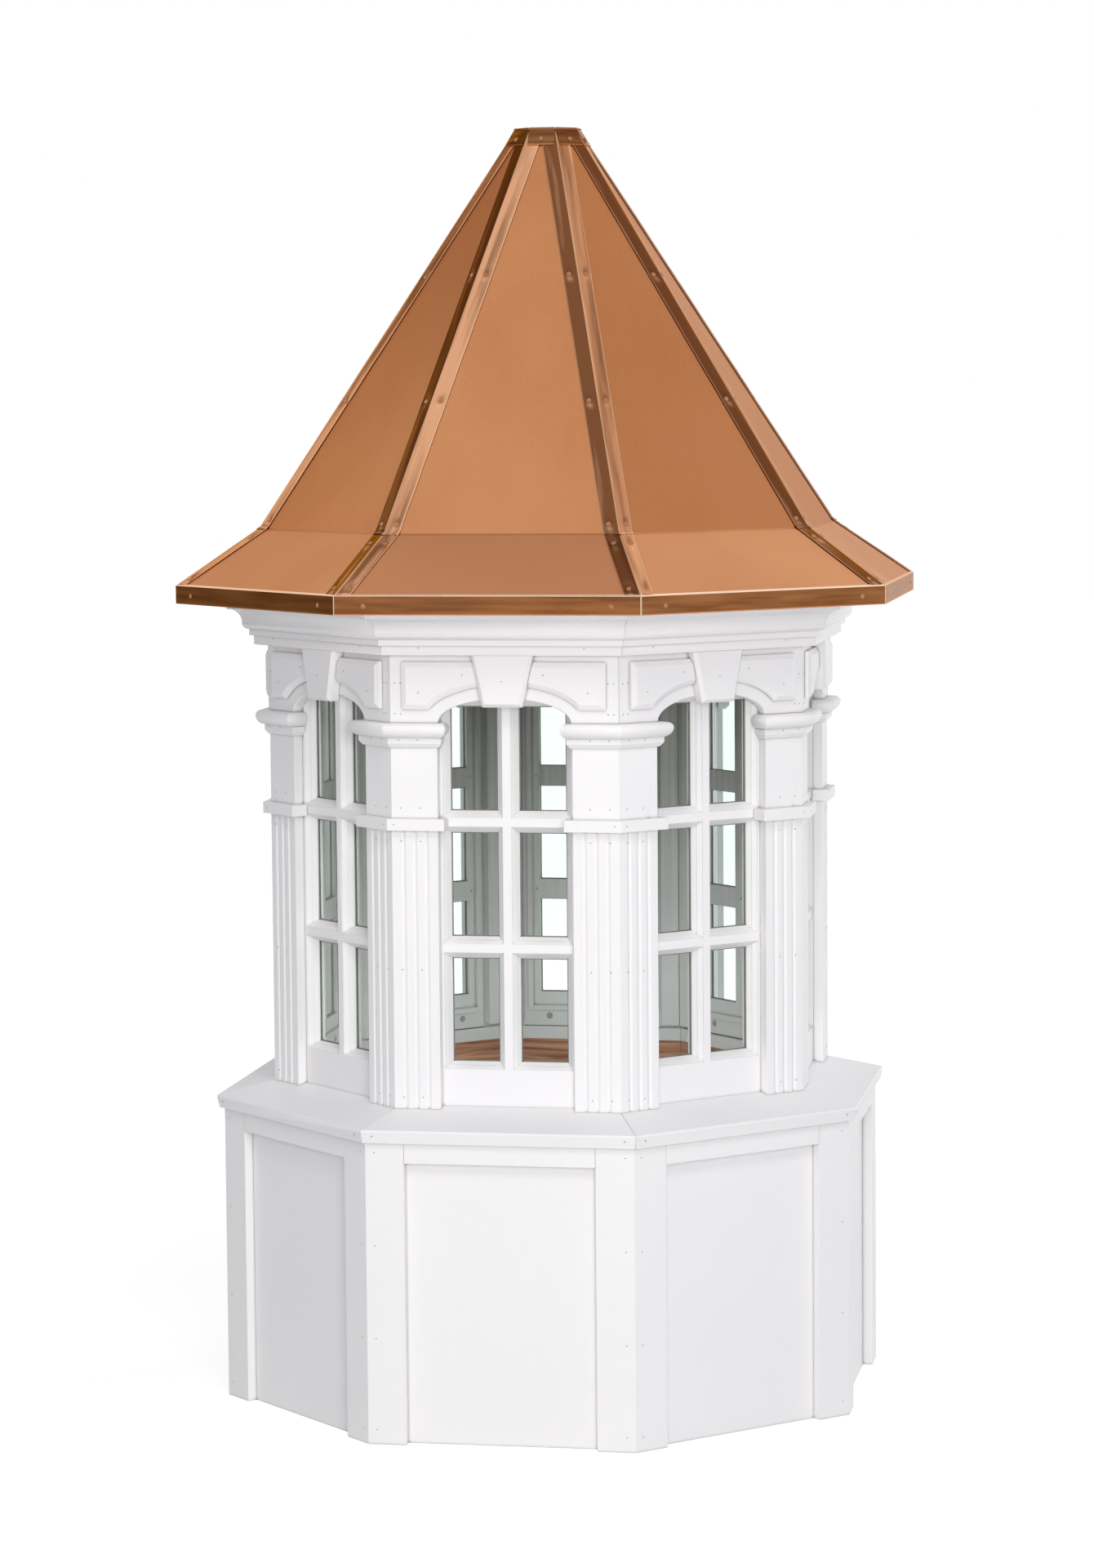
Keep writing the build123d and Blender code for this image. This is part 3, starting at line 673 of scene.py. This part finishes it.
# Drip edge, collar and top plate. The same sheet copper, folded in a brake, and glossier. Its
# colour is painted browner in long streaks as a painted reflection of a dark room, with painted
# highlights along the lip, the hem and the corner bends.
# Two tones of painted reflection for each piece, then the colours of the painted highlights.
eave_reflection_tones = ("#80502F", "#9A6740")
collar_reflection_tones = ("#6A412A", "#96643F")
plate_reflection_tones = ("#A06A45", "#B98259")
strip_edge = "#EBC4A4"
painted_bend_highlight = "#FBDFC6"
painted_hem_highlight = "#C8865A"
strip_roughness = 0.22
reflection_streak_length = 0.16
reflection_streak_width = 0.010
strip_dent_size = 0.050
strip_dent_depth = 0.0005
strip_scratch_size = 0.0015
strip_scratch_depth = 0.00001
strip_edge_round = 0.0007
lip_height = 0.0034
hem_height = 0.0022
corner_line = 0.0016
strip_contrast = (0.36, 0.66)


def folded_copper(name, tones, top, bottom, corner):
    """Folded copper in painted streaks of reflection, with painted highlights on the lip at its top, the hem
    at its bottom and the octagon corners.
    """
    material, tree = blank_material(name)
    place = node(tree, "ShaderNodeTexCoord")
    # Painted reflection: long streaks between the darker and the brighter tone of the copper.
    streak = node(tree, "ShaderNodeMapping",
                  {"Scale": (1 / reflection_streak_length, 1 / reflection_streak_length, 1 / reflection_streak_width)},
                  {"Vector": place.outputs["Object"]})
    cloud = node(tree, "ShaderNodeTexNoise", {"Scale": 1.0, "Detail": 3.0}, {"Vector": streak.outputs[0]})
    share = node(tree, "ShaderNodeMapRange", {"From Min": strip_contrast[0], "From Max": strip_contrast[1]},
                 {"Value": cloud.outputs["Fac"]})
    tone = node(tree, "ShaderNodeMix", {6: linear(tones[0]), 7: linear(tones[1])},
                {0: share.outputs[0]}, data_type="RGBA")
    height = node(tree, "ShaderNodeSeparateXYZ", links={0: place.outputs["Object"]})
    # Painted highlights along the hem at the bottom, the lip at the top and the corner bends.
    hem = node(tree, "ShaderNodeMath", {1: bottom, 2: hem_height}, {0: height.outputs["Z"]},
               operation="COMPARE")
    hem_highlighted = node(tree, "ShaderNodeMix", {7: linear(painted_hem_highlight)}, {0: hem.outputs[0], 6: tone.outputs[2]},
                  data_type="RGBA")
    lip = node(tree, "ShaderNodeMath", {1: top, 2: lip_height}, {0: height.outputs["Z"]},
               operation="COMPARE")
    level = node(tree, "ShaderNodeVectorMath", {1: (1, 1, 0)}, {0: place.outputs["Object"]},
                 operation="MULTIPLY")
    quarter = node(tree, "ShaderNodeVectorMath", links={0: level.outputs[0]}, operation="ABSOLUTE")
    short = corner * tan(side_angle / 2)
    first = node(tree, "ShaderNodeVectorMath", {1: (corner, short, 0)}, {0: quarter.outputs[0]},
                 operation="DISTANCE")
    second = node(tree, "ShaderNodeVectorMath", {1: (short, corner, 0)}, {0: quarter.outputs[0]},
                  operation="DISTANCE")
    nearest = node(tree, "ShaderNodeMath", links={0: first.outputs["Value"], 1: second.outputs["Value"]},
                   operation="MINIMUM")
    bend = node(tree, "ShaderNodeMapRange",
                {"From Min": 0.5 * corner_line, "From Max": corner_line, "To Min": 1.0, "To Max": 0.0},
                {"Value": nearest.outputs[0]})
    lines = node(tree, "ShaderNodeMath", links={0: lip.outputs[0], 1: bend.outputs[0]}, operation="MAXIMUM")
    highlighted = node(tree, "ShaderNodeMix", {7: linear(painted_bend_highlight)}, {0: lines.outputs[0], 6: hem_highlighted.outputs[2]},
                data_type="RGBA")
    dents = node(tree, "ShaderNodeTexNoise", {"Scale": 1 / strip_dent_size, "Detail": 2.0},
                 {"Vector": place.outputs["Object"]})
    dented = node(tree, "ShaderNodeBump", {"Distance": strip_dent_depth}, {"Height": dents.outputs["Fac"]})
    scratches = node(tree, "ShaderNodeTexNoise", {"Scale": 1 / strip_scratch_size, "Detail": 2.0},
                     {"Vector": place.outputs["Object"]})
    bump = node(tree, "ShaderNodeBump", {"Distance": strip_scratch_depth},
                {"Height": scratches.outputs["Fac"], "Normal": dented.outputs[0]})
    surface = node(tree, "ShaderNodeBsdfPrincipled",
                   {"Metallic": 1.0, "Roughness": strip_roughness, "Specular Tint": linear(strip_edge)},
                   {"Base Color": highlighted.outputs[2], "Normal": bump.outputs[0]})
    node(tree, "ShaderNodeOutputMaterial", links={"Surface": surface.outputs[0]})
    return material


eave_low, eave_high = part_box("eave_drip_edge")
eave_apothem = -eave_low.y
eave_copper = folded_copper("folded_eave_copper", eave_reflection_tones, eave_high.z, eave_low.z, eave_apothem)
dress("eave_drip_edge", eave_copper)
plate_low, plate_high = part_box("top_plate")
collar_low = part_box("top_collar")[0]
collar_copper = folded_copper("folded_collar_copper", collar_reflection_tones, plate_high.z, collar_low.z, -collar_low.y)
dress("top_collar", collar_copper, strip_edge_round)
# The flat plate has no lip or hem, so their height is set below it.
plate_copper = folded_copper("flat_plate_copper", plate_reflection_tones, 0.0, 0.0, -plate_low.y)
dress("top_plate", plate_copper, strip_edge_round)

# Hip covers. A strip of sheet copper folded along its middle lies over each hip, with its two
# edges hemmed under. It is drawn down round each screw and is a little wavy between them.
eave_height = 1.583
break_apothem = -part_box("roof_panels")[0].y
break_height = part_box("flare_panels")[1].z
top_height = plate_high.z
top_apothem = 0.0563
sheet_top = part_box("roof_panels")[1].z
flare_slope = atan2(break_height - eave_height, eave_apothem - break_apothem)
steep_slope = atan2(top_height - break_height, break_apothem - top_apothem)
corner_angle = side_angle / 2
# Painted light on the covers: two tones of painted reflection, the left flange painted darker and the right
# one lighter, painted shade above each screw, and painted highlights below it, along the hems and on the
# ridge.
cover_bright = "#DEA57E"
cover_brown = "#7C4F33"
cover_screw_shade = "#6B4028"
cover_highlight = "#EDBE98"
cover_roughness = 0.20
cover_streak_width = 0.020
cover_streak_length = 0.32
cover_contrast = (0.36, 0.70)
flange_blend = 0.002
left_flange_shade = -0.22
right_flange_light = 0.13
left_hem_shine = 0.30
right_hem_shine = 1.0
ridge_shine = 0.6
hem_shine_blend = 0.01
hem_shine_from = (0.0022, 0.0012)
ridge_shine_to = (0.0006, 0.0014)
flange_width = 0.0305
flange_gap = 0.0003
cover_lift = 0.0015
cover_thickness = 0.0011
hem_width = 0.0035
hem_lift = 0.0005
hem_fold = 0.001
ridge_round = 0.0022
ridge_drop = 0.0006
wave_lift = 0.0009
wave_length = 0.085
wave_width = 0.03
flat_below_top = 0.05
flat_fade = 0.04
sheet_gap = 0.0001
dimple_depth = 0.0013
dimple_radius = 0.0080
screw_shade_offset = 0.005
screw_shade_radius = 0.0065
screw_shade_most = 0.6
screw_highlight_offset = -0.009
screw_highlight_radius = 0.005
screw_highlight_most = 0.45
edge_length = 0.045
edge_waver = 0.0006
cover_lap = 0.005
lip_width = 0.0049
screw_across = 0.0175
steep_screws = (1.709, 1.9338, 2.1715)
flare_screws = (1.675, 1.597)
across_steps = 14
edge_crowding = 0.6
flare_steps = 60
steep_steps = 200
foot_row = -0.499
weld_reach = 0.00015

# Painted reflection in streaks, painted shade and light on the two flanges, painted shade and highlight at
# each screw, and painted highlights along the hems and the ridge.
cover_copper, tree = blank_material("folded_cover_copper")
place = node(tree, "ShaderNodeUVMap", uv_map="strip")
streak = node(tree, "ShaderNodeMapping", {"Scale": (1 / cover_streak_width, 1 / cover_streak_length, 1)},
              {"Vector": place.outputs[0]})
cloud = node(tree, "ShaderNodeTexNoise", {"Scale": 1.0, "Detail": 3.0}, {"Vector": streak.outputs[0]})
parts = node(tree, "ShaderNodeSeparateXYZ", links={0: place.outputs[0]})
flange = node(tree, "ShaderNodeMapRange",
              {"From Min": -flange_blend, "From Max": flange_blend, "To Min": left_flange_shade,
               "To Max": right_flange_light},
              {"Value": parts.outputs["X"]})
both = node(tree, "ShaderNodeMath", links={0: cloud.outputs["Fac"], 1: flange.outputs[0]}, operation="ADD")
share = node(tree, "ShaderNodeMapRange", {"From Min": cover_contrast[0], "From Max": cover_contrast[1]},
             {"Value": both.outputs[0]})
reflections = node(tree, "ShaderNodeMix", {6: linear(cover_brown), 7: linear(cover_bright)},
              {0: share.outputs[0]}, data_type="RGBA")
halo = node(tree, "ShaderNodeUVMap", uv_map="halo")
halos = node(tree, "ShaderNodeSeparateXYZ", links={0: halo.outputs[0]})
screw_shaded = node(tree, "ShaderNodeMix", {7: linear(cover_screw_shade)}, {0: halos.outputs["X"], 6: reflections.outputs[2]},
               data_type="RGBA")
tone = node(tree, "ShaderNodeMix", {7: linear(cover_highlight)}, {0: halos.outputs["Y"], 6: screw_shaded.outputs[2]},
            data_type="RGBA")
across = node(tree, "ShaderNodeMath", links={0: parts.outputs["X"]}, operation="ABSOLUTE")
hem = node(tree, "ShaderNodeMapRange",
           {"From Min": flange_width - hem_shine_from[0], "From Max": flange_width - hem_shine_from[1]},
           {"Value": across.outputs[0]})
ridge = node(tree, "ShaderNodeMapRange",
             {"From Min": ridge_shine_to[0], "From Max": ridge_shine_to[1], "To Min": 1.0, "To Max": 0.0},
             {"Value": across.outputs[0]})
sided = node(tree, "ShaderNodeMapRange",
             {"From Min": -hem_shine_blend, "From Max": hem_shine_blend, "To Min": left_hem_shine,
              "To Max": right_hem_shine},
             {"Value": parts.outputs["X"]})
hems = node(tree, "ShaderNodeMath", links={0: hem.outputs[0], 1: sided.outputs[0]}, operation="MULTIPLY")
ridges = node(tree, "ShaderNodeMath", {1: ridge_shine}, {0: ridge.outputs[0]}, operation="MULTIPLY")
lines = node(tree, "ShaderNodeMath", links={0: hems.outputs[0], 1: ridges.outputs[0]}, operation="MAXIMUM")
highlighted = node(tree, "ShaderNodeMix", {7: linear(cover_highlight)}, {0: lines.outputs[0], 6: tone.outputs[2]},
            data_type="RGBA")
surface = node(tree, "ShaderNodeBsdfPrincipled",
               {"Metallic": 1.0, "Roughness": cover_roughness, "Specular Tint": linear(strip_edge)},
               {"Base Color": highlighted.outputs[2]})
node(tree, "ShaderNodeOutputMaterial", links={"Surface": surface.outputs[0]})


def beside_hip(apothem, height, slope, across, lift):
    """Point to the right of the hip that lies over -Y, some way across a side and off its sheet."""
    out = apothem + lift * sin(slope)
    spot = Vector((across - out * tan(corner_angle), -out, height + lift * cos(slope)))
    return Matrix.Rotation(corner_angle, 3, "Z") @ spot


def apothem_at(height):
    """Apothem of the roof's surface at a height."""
    if height > break_height:
        return break_apothem - (height - break_height) / tan(steep_slope)
    return break_apothem + (break_height - height) / tan(flare_slope)


def cover_height(across, width, height, screws, seed):
    """How far the outside of a hip cover stands off the sheet."""
    arch = sin(pi * min(across / width, 1))
    arch *= min(max((top_height - flat_below_top - height) / flat_fade, 0), 1)
    lift = cover_lift - ridge_drop * max(0, 1 - across / ridge_round) ** 2
    lift += hem_lift * min(max((across - width + hem_width) / hem_fold, 0), 1)
    swell = noise.noise(Vector((across / wave_width, height / wave_length, seed)))
    lift += wave_lift * arch * (1 + swell)
    for screw in screws:
        reach = hypot(across - screw_across, height - screw)
        lift -= dimple_depth * exp(-(reach / dimple_radius) ** 2)
    return max(lift, cover_thickness + sheet_gap)


def halo_near(across, height, screws):
    """Painted shade above each screw and a painted highlight below it, from 0 to 1."""
    dark, bright = 0.0, 0.0
    for screw in screws:
        above = hypot(across - screw_across, height - screw - screw_shade_offset) / screw_shade_radius
        below = hypot(across - screw_across, height - screw - screw_highlight_offset) / screw_highlight_radius
        dark = max(dark, exp(-above ** 2))
        bright = max(bright, exp(-below ** 2))
    return screw_shade_most * dark, screw_highlight_most * bright


def fold_covers(name, low, high, slope, screws, steps, lap):
    """Make the covers of all hips between two heights, each with two flanges of its own waves."""
    shell = bmesh.new()
    strip = shell.loops.layers.uv.new("strip")
    halo = shell.loops.layers.uv.new("halo")
    for corner in range(side_count):
        turn = Matrix.Rotation(corner_angle + corner * side_angle, 3, "Z")
        for sign in (1, -1):
            made = bmesh.ops.create_grid(shell, x_segments=across_steps, y_segments=steps, size=0.5)["verts"]
            for vertex in made:
                share = vertex.co.x + 0.5
                share -= edge_crowding * sin(2 * pi * share) / (2 * pi)
                height = low + (high - low) * (vertex.co.y + 0.5)
                apothem = apothem_at(height)
                width = min(flange_width, apothem * tan(corner_angle) - flange_gap)
                edge = noise.noise(Vector((height / edge_length, 7.0 * corner, sign)))
                across = share * (width - edge_waver * (1 + edge))
                lift = cover_height(across, width, height, screws, 3 * corner + sign)
                tilt = slope
                if lap and vertex.co.y < foot_row:
                    height = break_height - cover_lap * tan(flare_slope)
                    apothem = break_apothem + cover_lap
                    lift = 2 * cover_lift
                    tilt = flare_slope
                spot = beside_hip(apothem, height, tilt, across, lift)
                spot.x *= sign
                marks = halo_near(across, height, screws)
                run = (top_height - height) / sin(slope) + 3.0 * corner
                for loop in vertex.link_loops:
                    loop[halo].uv = marks
                    loop[strip].uv = (sign * share * flange_width, run)
                vertex.co = turn @ spot
            if sign < 0:
                bmesh.ops.reverse_faces(shell, faces=list({face for v in made for face in v.link_faces}))
    bmesh.ops.remove_doubles(shell, verts=shell.verts, dist=weld_reach)
    for face in shell.faces:
        face.smooth = True
    cover = piece_of(name, shell, cover_copper)
    wall = cover.modifiers.new("sheet", "SOLIDIFY")
    wall.thickness = cover_thickness
    wall.offset = -1.0
    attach(cover, "root")
    return cover


flare_foot = eave_height + lip_width * tan(flare_slope)
flare_covers = fold_covers("flare_hip_covers", flare_foot, break_height, flare_slope, flare_screws,
                           flare_steps, lap=False)
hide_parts("flare_hip_caps")
steep_covers = fold_covers("steep_hip_covers", break_height, sheet_top, steep_slope, steep_screws,
                           steep_steps, lap=True)
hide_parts("hip_caps")

# Roof screws. Copper-plated pan heads with a sunk drive, two to each hip at every level, one
# in each plate of the collar, and two along each length of the drip edge.
screw_radius = 0.0052
screw_height = 0.0026
screw_proud = 0.0008
screw_seat = 0.0004
screw_corners = 16
screw_taper = 0.86
screw_crown = 0.3
drive_radius = 0.0017
drive_depth = 0.0012
fascia_screw_along = 0.228
fascia_screw = 1.567
collar_screw = 2.433
screw_bright = "#D59A70"
screw_brown = "#8A5A3A"
screw_roughness = 0.22

plated, tree = blank_material("copper_plated_screw")
place = node(tree, "ShaderNodeTexCoord")
wear = node(tree, "ShaderNodeTexNoise", {"Scale": 1 / screw_radius, "Detail": 3.0},
            {"Vector": place.outputs["Object"]})
tone = node(tree, "ShaderNodeMix", {6: linear(screw_bright), 7: linear(screw_brown)},
            {0: wear.outputs["Fac"]}, data_type="RGBA")
surface = node(tree, "ShaderNodeBsdfPrincipled", {"Metallic": 1.0, "Roughness": screw_roughness},
               {"Base Color": tone.outputs[2]})
node(tree, "ShaderNodeOutputMaterial", links={"Surface": surface.outputs[0]})

screws = bmesh.new()


def drive_screw(spot, normal):
    """Add one screw whose head sits at spot and points along normal, with its drive sunk into it."""
    stand = Matrix.Translation(spot) @ normal.to_track_quat("Z", "Y").to_matrix().to_4x4()
    head = bmesh.ops.create_cone(
        screws, cap_ends=True, segments=screw_corners, depth=screw_height, radius1=screw_radius,
        radius2=screw_taper * screw_radius, matrix=stand @ Matrix.Translation((0, 0, screw_height / 2)),
    )["verts"]
    faces = {face for vertex in head for face in vertex.link_faces}
    top = max(faces, key=lambda face: face.calc_center_median() @ normal)
    bmesh.ops.bevel(screws, geom=list(top.edges), offset=screw_crown * screw_radius, segments=3, profile=0.5,
                    affect="EDGES", material=-1)
    flats = [face for face in screws.faces if len(face.verts) == screw_corners and face.normal @ normal > 0.9]
    crown = min(flats, key=lambda face: (face.calc_center_median() - spot).length)
    inset = (1 - screw_crown) * screw_radius - drive_radius
    bmesh.ops.inset_region(screws, faces=[crown], thickness=inset)
    pushed = bmesh.ops.extrude_face_region(screws, geom=[crown])["geom"]
    corners = [item for item in pushed if isinstance(item, bmesh.types.BMVert)]
    bmesh.ops.translate(screws, vec=-drive_depth * normal, verts=corners)
    bmesh.ops.delete(screws, geom=[crown], context="FACES_ONLY")


hip_normal_turn = Matrix.Rotation(corner_angle, 3, "Z")
collar_normal = Vector((0, -sin(steep_slope), cos(steep_slope)))
collar_spot = Vector((0, -apothem_at(collar_screw), collar_screw)) + 2 * cover_lift * collar_normal
for side in range(side_count):
    hip = Matrix.Rotation(corner_angle + side * side_angle, 3, "Z")
    for heights, slope in ((steep_screws, steep_slope), (flare_screws, flare_slope)):
        for height in heights:
            for sign in (1, -1):
                lift = cover_lift - dimple_depth + screw_seat
                spot = beside_hip(apothem_at(height), height, slope, screw_across, lift)
                normal = hip_normal_turn @ Vector((0, -sin(slope), cos(slope)))
                mirrored = Vector((sign, 1, 1))
                drive_screw(hip @ (spot * mirrored), hip @ (normal * mirrored))
    turn = Matrix.Rotation(side * side_angle, 3, "Z")
    drive_screw(turn @ collar_spot, turn @ collar_normal)
    for sign in (1, -1):
        spot = Vector((sign * fascia_screw_along, screw_height - screw_proud - eave_apothem, fascia_screw))
        drive_screw(turn @ spot, turn @ Vector((0, -1, 0)))
for face in screws.faces:
    face.smooth = True
roof_screws = piece_of("roof_screws", screws, plated)
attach(roof_screws, "root")
